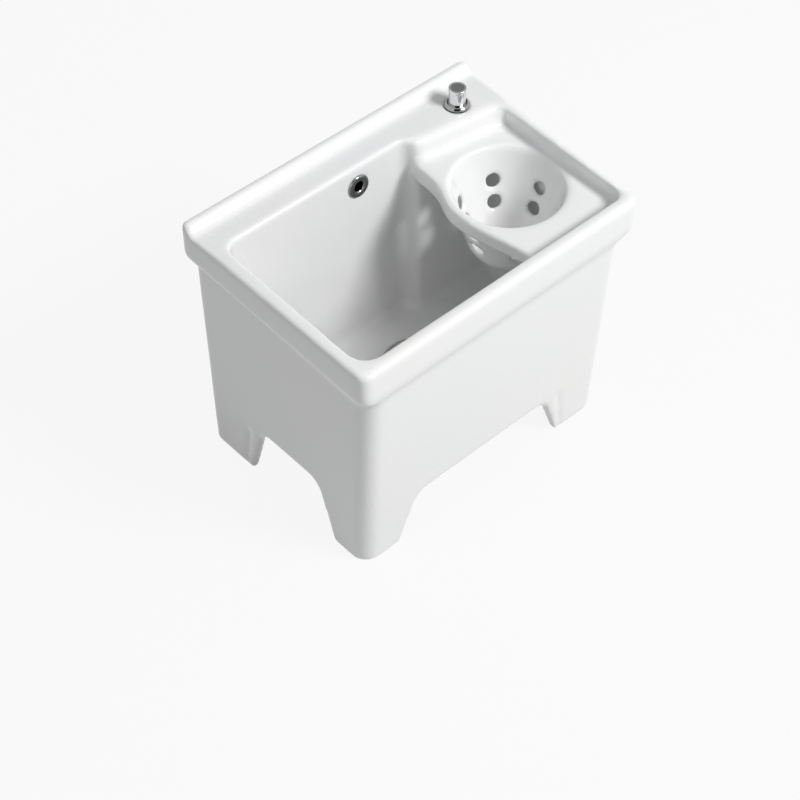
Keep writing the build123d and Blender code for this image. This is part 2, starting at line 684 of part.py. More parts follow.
def route(points):
    """Straight runs joined by the largest arcs that share each run fairly."""
    spots = [Vector(*point) for point in points]
    radii = []
    for before, here, after in zip(spots, spots[1:], spots[2:]):
        turn = math.radians((here - before).get_angle(after - here))
        shorter = min((here - before).length, (after - here).length)
        radii.append(ARC_SHARE * shorter / math.tan(turn / 2))
    return FilletPolyline(*points, radius=radii), radii


def swept(path, radius):
    start = Plane(origin=path @ 0, z_dir=path % 0)
    return sweep(start * Circle(radius), path=path)


def cable_route():
    high = sheath_end_high()
    points = [(KNOB_X, KNOB_Y, high)]
    points += [(KNOB_X + x, KNOB_Y + y, high + z) for x, y, z in CABLE_BELOW_KNOB]
    points += [(DRAIN_X + x, DRAIN_Y + y, z) for x, y, z in CABLE_FROM_DRAIN]
    points += [(DRAIN_X, DRAIN_Y, SHEATH_END_LOW)]
    return route(points)


def cable_sheath():
    path, radii = cable_route()
    print("cable", round(path.length, 1), "mm, arcs", [round(r) for r in radii])
    return swept(path, SHEATH_R) - swept(path, SHEATH_BORE_R)


def cable_wire():
    """The wire between its two moving ends, inside the sheath."""
    path = cable_route()[0]
    wire = swept(path, WIRE_R)
    top = sheath_end_high() - WIRE_GRIP - TRAVEL - WIRE_GAP
    wire -= solid_ring(2 * SHEATH_R, 0, top, top + SLEEVE_LENGTH, KNOB_X, KNOB_Y)
    low_top = SHEATH_END_LOW - WIRE_GRIP - WIRE_GAP
    return wire - solid_ring(2 * SHEATH_R, 0, low_top, SHEATH_END_LOW + 1, DRAIN_X, DRAIN_Y)


def cable_ferrules():
    """One ferrule at each end of the sheath."""
    high = sheath_end_high()
    upper = solid_ring(
        FERRULE_R, SHEATH_R + THREAD_GAP, high - FERRULE_LENGTH, high, KNOB_X, KNOB_Y)
    low = SHEATH_END_LOW
    lower = solid_ring(
        FERRULE_R, SHEATH_R + THREAD_GAP, low - FERRULE_LENGTH, low, DRAIN_X, DRAIN_Y)
    return Compound(children=[upper.solid(), lower.solid()])


def cable_guide():
    """Gland in the drain body's floor: it holds the sheath's lower end and guides the lifter."""
    head = hex_prism(GLAND_HEAD_FLATS, BODY_BOTTOM - GLAND_HEAD_HEIGHT, BODY_BOTTOM, DRAIN_X, DRAIN_Y)
    stem = solid_ring(GLAND_R, 0, BODY_BOTTOM, GLAND_TOP, DRAIN_X, DRAIN_Y)
    ferrule = solid_ring(
        FERRULE_R + THREAD_GAP, 0, BODY_BOTTOM - GLAND_HEAD_HEIGHT - 1, SHEATH_END_LOW, DRAIN_X, DRAIN_Y)
    lifter = solid_ring(LIFTER_R + RUNNING, 0, SHEATH_END_LOW, GLAND_TOP + 1, DRAIN_X, DRAIN_Y)
    return head + stem - ferrule - lifter


def guide_nut():
    low = BODY_BOTTOM + BODY_FLOOR
    nut = hex_prism(GLAND_HEAD_FLATS, low, low + GLAND_NUT_HEIGHT, DRAIN_X, DRAIN_Y)
    return nut - solid_ring(
        GLAND_R + THREAD_GAP, 0, low - 1, low + GLAND_NUT_HEIGHT + 1, DRAIN_X, DRAIN_Y)


def flange_top():
    return DRAIN_SEAT + DRAIN_GASKET_THICKNESS + DRAIN_FLANGE_THICKNESS


def seat_height():
    return flange_top() - SEAT_DEPTH


def drain_flange():
    """Dished flange with the plug's seat and the long threaded shank."""
    low = flange_top() - DRAIN_FLANGE_THICKNESS
    edge = DRAIN_FLANGE_THICKNESS / 2
    return turned([
        (SHANK_BORE_R, SHANK_BOTTOM), (SHANK_R, SHANK_BOTTOM), (SHANK_R, low),
        (DRAIN_FLANGE_R, low), (DRAIN_FLANGE_R, low + edge),
        (DRAIN_FLANGE_R - edge, flange_top()), (DISH_R, flange_top()),
        (SEAT_R, seat_height()), (SHANK_BORE_R, seat_height())], DRAIN_X, DRAIN_Y)


def drain_gasket():
    return solid_ring(
        DRAIN_FLANGE_R - HOLE_GAP, DRAIN_HOLE_R, DRAIN_SEAT,
        DRAIN_SEAT + DRAIN_GASKET_THICKNESS, DRAIN_X, DRAIN_Y)


def under_gasket():
    return solid_ring(
        DRAIN_NUT_R - HOLE_GAP, SHANK_R + THREAD_GAP, FLOOR_UNDERSIDE - UNDER_GASKET_THICKNESS,
        FLOOR_UNDERSIDE, DRAIN_X, DRAIN_Y)


def lugged_ring(outer, inner, length, lugs, lug_reach):
    """Ring nut with grip lugs, standing on the XY plane."""
    ring = Cylinder(outer, length, align=(Align.CENTER, Align.CENTER, Align.MIN))
    lug = Pos(outer, 0, 0) * Box(
        2 * lug_reach, NUT_LUG_WIDTH, length, align=(Align.CENTER, Align.CENTER, Align.MIN))
    for number in range(lugs):
        ring += Rot(0, 0, 360 * number / lugs) * lug
    return ring - Cylinder(inner, 3 * length)


def drain_nut():
    high = FLOOR_UNDERSIDE - UNDER_GASKET_THICKNESS
    ring = lugged_ring(DRAIN_NUT_R, SHANK_R + THREAD_GAP, DRAIN_NUT_HEIGHT, DRAIN_NUT_LUGS, NUT_LUG_REACH)
    return Pos(DRAIN_X, DRAIN_Y, high - DRAIN_NUT_HEIGHT) * ring


def stem_guide():
    """Spoked ring in the shank that keeps the plug's stem upright."""
    high = GUIDE_BOTTOM + GUIDE_HEIGHT
    guide = solid_ring(SHANK_BORE_R, SHANK_BORE_R - GUIDE_RING, GUIDE_BOTTOM, high)
    guide += solid_ring(GUIDE_BOSS_R, 0, GUIDE_BOTTOM, high)
    reach = SHANK_BORE_R - GUIDE_RING / 2
    spoke = Pos(reach / 2, 0, GUIDE_BOTTOM + GUIDE_HEIGHT / 2) * Box(reach, GUIDE_SPOKE_WIDTH, GUIDE_HEIGHT)
    for number in range(GUIDE_SPOKES):
        guide += Rot(0, 0, 90 + 360 * number / GUIDE_SPOKES) * spoke
    guide -= solid_ring(STEM_R + RUNNING, 0, GUIDE_BOTTOM - 1, high + 1)
    return drain_place() * guide


def plug_seal():
    low = seat_height() + SEAT_GAP
    return solid_ring(PLUG_R, PLUG_HUB_R, low, low + PLUG_SEAL_THICKNESS, DRAIN_X, DRAIN_Y)


def drain_plug():
    """Low domed plug whose hub holds the seal from the inside."""
    low = seat_height() + SEAT_GAP + PLUG_SEAL_THICKNESS
    rim = low + PLUG_THICKNESS
    top = rim + PLUG_DOME
    section = Polyline((PLUG_R, 0, rim), (PLUG_R, 0, low), (PLUG_HUB_R, 0, low),
                       (PLUG_HUB_R, 0, hub_bottom()), (0, 0, hub_bottom()), (0, 0, top))
    section += ThreePointArc(
        (0, 0, top), (PLUG_R / 2, 0, top - PLUG_DOME / 4), (PLUG_R, 0, rim))
    return drain_place() * revolve(make_face(section), Axis.Z)


def hub_bottom():
    return seat_height() + SEAT_GAP - PLUG_HUB_DROP


def plug_stem():
    return solid_ring(STEM_R, 0, LIFTER_TOP, hub_bottom(), DRAIN_X, DRAIN_Y)


def stem_lifter():
    return solid_ring(LIFTER_R, 0, LIFTER_BOTTOM, LIFTER_TOP, DRAIN_X, DRAIN_Y)


def plug_wire():
    return solid_ring(WIRE_R, 0, SHEATH_END_LOW - WIRE_GRIP, LIFTER_BOTTOM, DRAIN_X, DRAIN_Y)


def body_ledge():
    return SHANK_BOTTOM - BODY_GASKET_THICKNESS


def inlet_direction():
    angle = math.radians(INLET_ANGLE)
    return Vector(math.cos(angle), math.sin(angle), 0)


def bar(start, direction, length, radius):
    """Round bar from a point along a direction."""
    place = Plane(origin=start, z_dir=direction)
    return place * Cylinder(radius, length, align=(Align.CENTER, Align.CENTER, Align.MIN))


def drain_body():
    """Cup under the drain with a side spigot for the outlet and a nipple for the overflow hose."""
    cup = turned([
        (0, BODY_BOTTOM), (BODY_R, BODY_BOTTOM), (BODY_R, body_ledge() - BODY_SHOULDER),
        (BODY_COLLAR_R, body_ledge()), (BODY_COLLAR_R, BODY_TOP), (0, BODY_TOP)], DRAIN_X, DRAIN_Y)
    centre = Vector(DRAIN_X, DRAIN_Y, 0)
    outlet_start = centre + Vector(0, 0, OUTLET_Z)
    inlet_start = centre + Vector(0, 0, INLET_Z)
    cup += bar(outlet_start, (0, 1, 0), SPIGOT_REACH, OUTLET_R)
    cup += bar(inlet_start, inlet_direction(), INLET_REACH, NIPPLE_R)
    cup -= solid_ring(BODY_BORE_R, 0, BODY_BOTTOM + BODY_FLOOR, BODY_TOP + 1, DRAIN_X, DRAIN_Y)
    cup -= solid_ring(SHANK_R + THREAD_GAP, 0, body_ledge(), BODY_TOP + 1, DRAIN_X, DRAIN_Y)
    cup -= bar(outlet_start, (0, 1, 0), SPIGOT_REACH + 1, OUTLET_R - OUTLET_WALL)
    cup -= bar(inlet_start, inlet_direction(), INLET_REACH + 1, NIPPLE_BORE_R)
    return cup - solid_ring(
        GLAND_R + THREAD_GAP, 0, BODY_BOTTOM - 1, BODY_BOTTOM + BODY_FLOOR + 1, DRAIN_X, DRAIN_Y)


def body_gasket():
    return solid_ring(SHANK_R, SHANK_BORE_R, body_ledge(), SHANK_BOTTOM, DRAIN_X, DRAIN_Y)


def outlet_elbow():
    """Bend that turns the outlet down to the floor drain."""
    start = (DRAIN_X, DRAIN_Y + SPIGOT_REACH, OUTLET_Z)
    corner = (DRAIN_X, DRAIN_Y + ELBOW_REACH, OUTLET_Z)
    end = (DRAIN_X, DRAIN_Y + ELBOW_REACH, ELBOW_END)
    path = FilletPolyline(start, corner, end, radius=ELBOW_BEND)
    return swept(path, OUTLET_R) - swept(path, OUTLET_R - OUTLET_WALL)


def outlet_nut():
    """Union nut over the joint between spigot and elbow, with a pocket for its washer."""
    ring = lugged_ring(OUTLET_NUT_R, OUTLET_R + THREAD_GAP, OUTLET_NUT_LENGTH, OUTLET_NUT_LUGS, NUT_LUG_REACH)
    pocket = Pos(0, 0, OUTLET_NUT_LENGTH / 2) * Cylinder(outlet_washer_r(), OUTLET_WASHER_LENGTH)
    start = (DRAIN_X, DRAIN_Y + SPIGOT_REACH - OUTLET_NUT_LENGTH / 2, OUTLET_Z)
    return Plane(origin=start, z_dir=(0, 1, 0)) * (ring - pocket)


def outlet_washer_r():
    return (OUTLET_R + OUTLET_NUT_R) / 2


def outlet_washer():
    start = (DRAIN_X, DRAIN_Y + SPIGOT_REACH - OUTLET_WASHER_LENGTH / 2, OUTLET_Z)
    washer = bar(start, (0, 1, 0), OUTLET_WASHER_LENGTH, outlet_washer_r())
    return washer - bar(start, (0, 1, 0), 2 * OUTLET_WASHER_LENGTH, OUTLET_R + THREAD_GAP)


def overflow_place():
    """Plane on the tub's back wall: its normal leans with the wall and points into the tub."""
    wall_y = HALF_DEPTH - DECK_LEFT - (DECK_HEIGHT - OVERFLOW_Z) * DRAFT
    angle = math.radians(DRAFT_ANGLE)
    return Plane(
        origin=(OVERFLOW_X, wall_y, OVERFLOW_Z), x_dir=(1, 0, 0),
        z_dir=(0, -math.cos(angle), math.sin(angle)))


def wall_behind():
    """Thickness of the back wall square to its face."""
    return BACK_WALL * math.cos(math.radians(DRAFT_ANGLE))


def overflow_ring():
    """Trim ring in the tub and the barrel that screws into the elbow behind the wall."""
    lip = Cylinder(OVERFLOW_RING_R, OVERFLOW_RING_THICKNESS, align=(Align.CENTER, Align.CENTER, Align.MIN))
    lip = fillet(lip.edges().sort_by(Axis.Z)[-1], OVERFLOW_RING_ROUND)
    reach = wall_behind() + OVERFLOW_GASKET_THICKNESS + OVERFLOW_THREAD
    barrel = Cylinder(OVERFLOW_BARREL_R, reach, align=(Align.CENTER, Align.CENTER, Align.MAX))
    ring = lip + barrel - Cylinder(OVERFLOW_BORE_R, 3 * reach)
    return overflow_place() * ring


def overflow_gasket():
    gasket = Cylinder(
        OVERFLOW_FLANGE_R, OVERFLOW_GASKET_THICKNESS, align=(Align.CENTER, Align.CENTER, Align.MAX))
    gasket -= Cylinder(OVERFLOW_BARREL_R + THREAD_GAP, 3 * OVERFLOW_GASKET_THICKNESS)
    return overflow_place() * Pos(0, 0, -wall_behind()) * gasket


def elbow_centre():
    depth = wall_behind() + OVERFLOW_GASKET_THICKNESS + OVERFLOW_BODY_LENGTH / 2
    place = overflow_place()
    return place.origin - place.z_dir * depth


def nipple_top():
    """Top of the hose on the elbow's nipple, just under the elbow's flange."""
    return elbow_centre().Z - OVERFLOW_FLANGE_R - NIPPLE_SHOULDER


def overflow_elbow():
    """Plastic elbow behind the wall: the ring's barrel screws in, and its nipple points down."""
    start = -wall_behind() - OVERFLOW_GASKET_THICKNESS
    down = (Align.CENTER, Align.CENTER, Align.MAX)
    shell = Pos(0, 0, start) * Cylinder(OVERFLOW_FLANGE_R, OVERFLOW_FLANGE_THICKNESS, align=down)
    shell += Pos(0, 0, start) * Cylinder(OVERFLOW_BODY_R, OVERFLOW_BODY_LENGTH, align=down)
    shell = overflow_place() * shell
    centre = elbow_centre()
    low = nipple_top() - NIPPLE_LENGTH
    shell += solid_ring(NIPPLE_R, 0, low, centre.Z, centre.X, centre.Y)
    thread = Pos(0, 0, start + 1) * Cylinder(OVERFLOW_BARREL_R + THREAD_GAP, OVERFLOW_THREAD + 1, align=down)
    room = Pos(0, 0, start) * Cylinder(
        OVERFLOW_BORE_R, OVERFLOW_BODY_LENGTH - OUTLET_WALL, align=down)
    shell -= overflow_place() * thread
    shell -= overflow_place() * room
    return shell - solid_ring(NIPPLE_BORE_R, 0, low - 1, centre.Z, centre.X, centre.Y)


def hose_ends():
    centre = elbow_centre()
    high = Vector(centre.X, centre.Y, nipple_top())
    low = Vector(DRAIN_X, DRAIN_Y, INLET_Z) + inlet_direction() * (INLET_REACH - NIPPLE_LENGTH)
    return high, low


def overflow_hose():
    """Hose from the overflow's elbow to the drain body, pushed over a nipple at each end."""
    high, low = hose_ends()
    points = [high, high - Vector(0, 0, HOSE_STRAIGHT)]
    points += [Vector(OVERFLOW_X + x, HALF_DEPTH + y, OVERFLOW_Z + z) for x, y, z in HOSE_FROM_OVERFLOW]
    points += [Vector(DRAIN_X + x, DRAIN_Y + y, z) for x, y, z in HOSE_FROM_DRAIN]
    points += [low + inlet_direction() * HOSE_STRAIGHT, low]
    path, radii = route([(spot.X, spot.Y, spot.Z) for spot in points])
    print("hose", round(path.length, 1), "mm, arcs", [round(r) for r in radii])
    return swept(path, HOSE_R) - swept(path, HOSE_BORE_R)


def hose_clips():
    """One band clip over each end of the hose."""
    high, low = hose_ends()
    inset = (NIPPLE_LENGTH - CLIP_LENGTH) / 2
    clips = []
    for end, direction in ((high, Vector(0, 0, -1)), (low, inlet_direction())):
        start = end + direction * inset
        band = bar(start, direction, CLIP_LENGTH, CLIP_R)
        place = Plane(origin=start, z_dir=direction)
        band += place * Pos(CLIP_R, 0, CLIP_LENGTH / 2) * Box(CLIP_SCREW, CLIP_SCREW, CLIP_LENGTH)
        band -= bar(start - direction, direction, CLIP_LENGTH + 2, HOSE_R + THREAD_GAP)
        clips.append(band.solid())
    return Compound(children=clips)


NODES = (
    ceramic_body,
    control_knob, knob_seal, knob_spindle, knob_wire,
    deck_flange, deck_gasket, deck_washer, deck_nut, sleeve_cap,
    cable_sheath, cable_wire, cable_ferrules, cable_guide, guide_nut,
    drain_flange, drain_gasket, under_gasket, drain_nut, stem_guide,
    drain_plug, plug_seal, plug_stem, stem_lifter, plug_wire,
    drain_body, body_gasket, outlet_elbow, outlet_nut, outlet_washer,
    overflow_ring, overflow_gasket, overflow_elbow, overflow_hose, hose_clips,
)


def main():
    os.makedirs("parts", exist_ok=True)
    for make in NODES:
        export_step(make(), f"parts/{make.__name__}.step")


if __name__ == "__main__":
    main()
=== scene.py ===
import math

import bmesh
import bpy
import numpy as np
from mathutils import Matrix, Vector


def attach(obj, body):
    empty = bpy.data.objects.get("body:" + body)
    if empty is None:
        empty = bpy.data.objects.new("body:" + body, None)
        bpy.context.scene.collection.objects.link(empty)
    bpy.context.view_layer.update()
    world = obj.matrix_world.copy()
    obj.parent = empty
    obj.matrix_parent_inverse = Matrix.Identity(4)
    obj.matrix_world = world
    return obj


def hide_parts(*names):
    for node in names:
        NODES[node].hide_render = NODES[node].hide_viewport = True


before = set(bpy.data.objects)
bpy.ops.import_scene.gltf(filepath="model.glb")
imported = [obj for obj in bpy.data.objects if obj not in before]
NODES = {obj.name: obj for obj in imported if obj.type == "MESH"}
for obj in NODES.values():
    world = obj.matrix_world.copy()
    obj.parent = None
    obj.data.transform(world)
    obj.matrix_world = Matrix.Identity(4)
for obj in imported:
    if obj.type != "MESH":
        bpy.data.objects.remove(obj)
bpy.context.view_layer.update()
MM = 0.001

# Camera: looks at the tub from its front left corner, from above
FOCAL_SHARE = 1951.386 / 800
SENSOR = 36.0
AZIMUTH = math.radians(-42.356)
ELEVATION = math.radians(48.076)
DISTANCE = 2.464834
AIM_HEIGHT = 0.2
AIM_RIGHT = 13.762 / 1951.386
AIM_UP = -81.008 / 1951.386
CLIP_START = 0.05
CLIP_END = 50

# Light
KEY_POWER = 125.0
KEY_SIZE = 1.15
KEY_DISTANCE = 4.0
KEY_SIDE = (0.41, -0.91)
KEY_ELEVATION = math.radians(44.5)
KEY_AIM_HEIGHT = 0.25
SKY_COLOR = (0.985, 0.99, 1.0)
SKY_STRENGTH = 0.41
FLOOR_HALF = 7.0
FLOOR_GLOW = 0.9
FLOOR_PAINT = 0.55

# Dark cards of the studio, seen only as reflections: way out from the deck, distance, size and grey
CARDS = (
    ((0.450, 0.494, 0.744), 2.2, 1.5, 0.20),
    ((-0.450, -0.494, 0.744), 2.2, 1.7, 0.04),
)
CARD_MIDDLE = (0.17, 0.10, 0.40)

# Skin of the glazed body
MERGE = 1e-6
VOXEL = 0.0023
SMOOTH_ROUNDS = 14
SMOOTH_STEP = 0.5
SKIN_FACES = 190000

# Step from the deck down to the shelf: a slanting line in plan, softened more than the rest.
# Each pair below it is where the softening starts and where it is full.
STEP_START = (0.084, 0.084)
STEP_END = (0.217, 0.065)
STEP_ROUNDS = 50
STEP_AWAY = (0.018, 0.010)
STEP_HEIGHTS = (0.334, 0.345)
STEP_LEFT = (0.076, 0.092)
STEP_RIGHT = (0.216, 0.206)

# Inner wall of the right-hand rim: its top stands further in than the draft of the walls has it.
# Each pair is where the shift starts and where it is full.
RIM_SHIFT = 0.0045
RIM_HEIGHTS = (0.357, 0.384)
RIM_INSIDE = (0.200, 0.206)
RIM_OUTSIDE = (0.2295, 0.2235)
RIM_BACK = (0.075, 0.058)
RIM_FRONT = (-0.150, -0.136)

# Turned pieces: axes and profiles in millimetres
KNOB_AXIS = (170.6, 106.4, 0)
DRAIN_AXIS = (0, -12, 0)
OVERFLOW_FACE = (0, 102.135, 356.5)
OVERFLOW_WAY = (0, -0.998135, 0.061049)
TURNED_SEGMENTS = 128
DRAIN_SEGMENTS = 160

# Corners of a profile: points in an arc, and the most that it takes of the side next to it
ARC_STEPS = 4
ARC_SHARE = 0.49

# Ridges of a thread: where the rise starts and where the top starts and ends, in shares of the pitch
RIDGE_RISE = 0.12
RIDGE_TOP = (0.46, 0.62)
SLEEVE_PITCH = 1.5
OVERFLOW_PITCH = 1.4
DRAIN_PITCH = 2.2

# Nodes of the solid that stay: their points are welded, and edges above the angle get a bevel
WELD = 2e-6
BEVEL = 0.3 * MM
BEVEL_SEGMENTS = 2
BEVEL_ANGLE = 40

# Angles in degrees above which an edge isn't shaded smooth
TURNED_ANGLE = 50
HOSE_ANGLE = 60

# Cable and hose
SPLINE_ORDER = 3
SPLINE_STEPS = 14
CABLE_R = 2.5 * MM
CABLE_ROUNDNESS = 6
CABLE_ROUTE = (
    (0.1706, 0.1064, 0.3302), (0.1706, 0.1064, 0.288), (0.1696, 0.1134, 0.234), (0.1656, 0.1174, 0.178),
    (0.1586, 0.1144, 0.124), (0.15, 0.099, 0.076), (0.128, 0.072, 0.04), (0.098, 0.043, 0.019),
    (0.068, 0.02, 0.0105), (0.041, 0.005, 0.0085), (0.02, -0.0036, 0.0085),
    (0.0074, -0.0089, 0.0155), (0.0, -0.012, 0.029), (0.0, -0.012, 0.053))
HOSE_ROUTE = (
    (0.0, 0.1231, 0.3372), (0.0, 0.1231, 0.2932), (-0.012, 0.128, 0.2565), (-0.04, 0.128, 0.2185),
    (-0.064, 0.127, 0.168), (-0.085, 0.124, 0.126), (-0.09, 0.108, 0.09), (-0.082, 0.08, 0.07),
    (-0.0651, 0.0531, 0.066), (-0.0339, 0.0219, 0.066))
HOSE_R = 11.0 * MM
HOSE_CUFF = 22.0 * MM
HOSE_SIDES = 32
RIB_PITCH = 3.2 * MM
RIB_DEPTH = 1.3 * MM
RIB_RINGS = 6
RIB_POWER = 1.6
TINY = 1e-9


def link(obj):
    bpy.context.scene.collection.objects.link(obj)
    return obj


def frozen(obj):
    """Mesh of an object with its modifiers or its curve worked out."""
    bpy.context.view_layer.update()
    depsgraph = bpy.context.evaluated_depsgraph_get()
    return bpy.data.meshes.new_from_object(obj.evaluated_get(depsgraph))


def square(name, half):
    mesh = bpy.data.meshes.new(name)
    corners = [(-half, -half, 0), (half, -half, 0), (half, half, 0), (-half, half, 0)]
    mesh.from_pydata(corners, [], [(0, 1, 2, 3)])
    return link(bpy.data.objects.new(name, mesh))


def empty_tree(owner):
    """Node tree of a material or a world, emptied."""
    owner.use_nodes = True
    owner.node_tree.nodes.clear()
    return owner.node_tree


def light_node(nodes, kind, color, strength):
    node = nodes.new(kind)
    node.inputs["Color"].default_value = (*color, 1)
    node.inputs["Strength"].default_value = strength
    return node


def make_camera():
    back = Vector((
        math.sin(AZIMUTH) * math.cos(ELEVATION),
        -math.cos(AZIMUTH) * math.cos(ELEVATION),
        math.sin(ELEVATION)))
    right = (-back).cross(Vector((0, 0, 1))).normalized()
    up = right.cross(-back)
    place = Vector((0, 0, AIM_HEIGHT)) + back * DISTANCE
    place += up * AIM_UP * DISTANCE - right * AIM_RIGHT * DISTANCE
    data = bpy.data.cameras.new("camera")
    data.sensor_width = SENSOR
    data.lens = FOCAL_SHARE * SENSOR
    data.clip_start = CLIP_START
    data.clip_end = CLIP_END
    camera = link(bpy.data.objects.new("camera", data))
    turn = Matrix((right, up, back)).transposed().to_4x4()
    camera.matrix_world = Matrix.Translation(place) @ turn
    bpy.context.scene.camera = camera


def face_outwards(obj, middle, towards, distance):
    """Puts an object out from a middle and turns its own Z axis the same way."""
    obj.location = Vector(middle) + towards * distance
    obj.rotation_mode = "QUATERNION"
    obj.rotation_quaternion = towards.to_track_quat("Z", "Y")


def make_key_light():
    flat = math.cos(KEY_ELEVATION)
    side = Vector((KEY_SIDE[0], KEY_SIDE[1], 0)).normalized()
    towards = side * flat + Vector((0, 0, math.sin(KEY_ELEVATION)))
    data = bpy.data.lights.new("key_light", "AREA")
    data.shape = "SQUARE"
    data.size = KEY_SIZE
    data.energy = KEY_POWER
    lamp = link(bpy.data.objects.new("key_light", data))
    face_outwards(lamp, (0, 0, KEY_AIM_HEIGHT), towards, KEY_DISTANCE)


def seen_directly(nodes):
    """Socket that is 1 for rays from the camera and for those that metal and glass show."""
    path = nodes.new("ShaderNodeLightPath")
    links = path.id_data.links
    first = nodes.new("ShaderNodeMath")
    first.operation = "MAXIMUM"
    links.new(path.outputs["Is Camera Ray"], first.inputs[0])
    links.new(path.outputs["Is Glossy Ray"], first.inputs[1])
    second = nodes.new("ShaderNodeMath")
    second.operation = "MAXIMUM"
    links.new(first.outputs[0], second.inputs[0])
    links.new(path.outputs["Is Transmission Ray"], second.inputs[1])
    return second.outputs[0]


def make_world():
    """Even sky that lights the tub; where it is seen directly it is plain white."""
    world = bpy.data.worlds.new("studio")
    bpy.context.scene.world = world
    tree = empty_tree(world)
    nodes, links = tree.nodes, tree.links
    sky = light_node(nodes, "ShaderNodeBackground", SKY_COLOR, SKY_STRENGTH)
    white = light_node(nodes, "ShaderNodeBackground", (1, 1, 1), 1.0)
    mix = nodes.new("ShaderNodeMixShader")
    out = nodes.new("ShaderNodeOutputWorld")
    links.new(seen_directly(nodes), mix.inputs[0])
    links.new(sky.outputs[0], mix.inputs[1])
    links.new(white.outputs[0], mix.inputs[2])
    links.new(mix.outputs[0], out.inputs["Surface"])


def make_floor():
    """Pale floor: it keeps the shadow, and the camera sees it near white."""
    floor = square("studio_floor", FLOOR_HALF)
    mat = bpy.data.materials.new("studio_floor")
    tree = empty_tree(mat)
    nodes, links = tree.nodes, tree.links
    paint = nodes.new("ShaderNodeBsdfDiffuse")
    paint.inputs["Color"].default_value = (FLOOR_PAINT, FLOOR_PAINT, FLOOR_PAINT, 1)
    glow = light_node(nodes, "ShaderNodeEmission", (1, 1, 1), 1.0)
    share = nodes.new("ShaderNodeMath")
    share.operation = "MULTIPLY"
    share.inputs[1].default_value = FLOOR_GLOW
    mix = nodes.new("ShaderNodeMixShader")
    out = nodes.new("ShaderNodeOutputMaterial")
    links.new(seen_directly(nodes), share.inputs[0])
    links.new(share.outputs[0], mix.inputs[0])
    links.new(paint.outputs[0], mix.inputs[1])
    links.new(glow.outputs[0], mix.inputs[2])
    links.new(mix.outputs[0], out.inputs["Surface"])
    floor.data.materials.append(mat)


def make_cards():
    """Grey cards that show only as reflections, above all in the chrome."""
    for number, (way, distance, size, grey) in enumerate(CARDS):
        name = "studio_card_%d" % number
        card = square(name, size / 2)
        face_outwards(card, CARD_MIDDLE, Vector(way).normalized(), distance)
        card.visible_camera = False
        card.visible_diffuse = False
        card.visible_shadow = False
        card.visible_transmission = False
        mat = bpy.data.materials.new(name)
        tree = empty_tree(mat)
        glow = light_node(tree.nodes, "ShaderNodeEmission", (grey, grey, grey), 1.0)
        out = tree.nodes.new("ShaderNodeOutputMaterial")
        tree.links.new(glow.outputs[0], out.inputs["Surface"])
        card.data.materials.append(mat)


class Surface:
    """A Principled material with noise of its own in colour, roughness and relief."""

    def __init__(self, name, color, roughness, metallic=0.0, ior=1.5):
        self.mat = bpy.data.materials.new(name)
        self.tree = empty_tree(self.mat)
        self.nodes = self.tree.nodes
        self.shader = self.nodes.new("ShaderNodeBsdfPrincipled")
        out = self.nodes.new("ShaderNodeOutputMaterial")
        self.join(self.shader.outputs[0], out.inputs["Surface"])
        self.shader.inputs["Base Color"].default_value = (*color, 1)
        self.shader.inputs["Roughness"].default_value = roughness
        self.shader.inputs["Metallic"].default_value = metallic
        self.shader.inputs["IOR"].default_value = ior
        self.place = self.nodes.new("ShaderNodeTexCoord").outputs["Object"]
        self.relief = None

    def join(self, a, b):
        self.tree.links.new(a, b)

    def noise(self, scale, detail, stretch=None):
        """Noise over the object's own coordinates; stretch multiplies them along each axis."""
        source = self.place
        if stretch is not None:
            mapping = self.nodes.new("ShaderNodeMapping")
            mapping.inputs["Scale"].default_value = stretch
            self.join(source, mapping.inputs["Vector"])
            source = mapping.outputs[0]
        node = self.nodes.new("ShaderNodeTexNoise")
        node.inputs["Scale"].default_value = scale
        node.inputs["Detail"].default_value = detail
        self.join(source, node.inputs["Vector"])
        return node.outputs["Fac"]

    def span(self, value, low=0.0, high=1.0, start=0.3, stop=0.7):
        """Maps start..stop of a value to low..high."""
        node = self.nodes.new("ShaderNodeMapRange")
        node.inputs["From Min"].default_value = start
        node.inputs["From Max"].default_value = stop
        node.inputs["To Min"].default_value = low
        node.inputs["To Max"].default_value = high
        self.join(value, node.inputs["Value"])
        return node.outputs[0]

    def blend(self, factor, a, b):
        """Colour between a and b; either may be a socket."""
        node = self.nodes.new("ShaderNodeMix")
        node.data_type = "RGBA"
        self.join(factor, node.inputs[0])
        for socket, value in ((node.inputs[6], a), (node.inputs[7], b)):
            if isinstance(value, tuple):
                socket.default_value = (*value, 1)
            else:
                self.join(value, socket)
        return node.outputs[2]

    def color(self, factor, a, b):
        self.join(self.blend(factor, a, b), self.shader.inputs["Base Color"])

    def rough(self, value):
        self.join(value, self.shader.inputs["Roughness"])

    def bump(self, height, strength, distance):
        """Adds relief on top of what is there."""
        node = self.nodes.new("ShaderNodeBump")
        node.inputs["Strength"].default_value = strength
        node.inputs["Distance"].default_value = distance
        self.join(height, node.inputs["Height"])
        if self.relief is not None:
            self.join(self.relief, node.inputs["Normal"])
        self.relief = node.outputs[0]
        self.join(self.relief, self.shader.inputs["Normal"])

    def axis(self, name):
        node = self.nodes.new("ShaderNodeSeparateXYZ")
        self.join(self.place, node.inputs[0])
        return node.outputs[name]

    def calc(self, operation, a, b):
        """Math node; b may be a number."""
        node = self.nodes.new("ShaderNodeMath")
        node.operation = operation
        self.join(a, node.inputs[0])
        if isinstance(b, float):
            node.inputs[1].default_value = b
        else:
            self.join(b, node.inputs[1])
        return node.outputs[0]


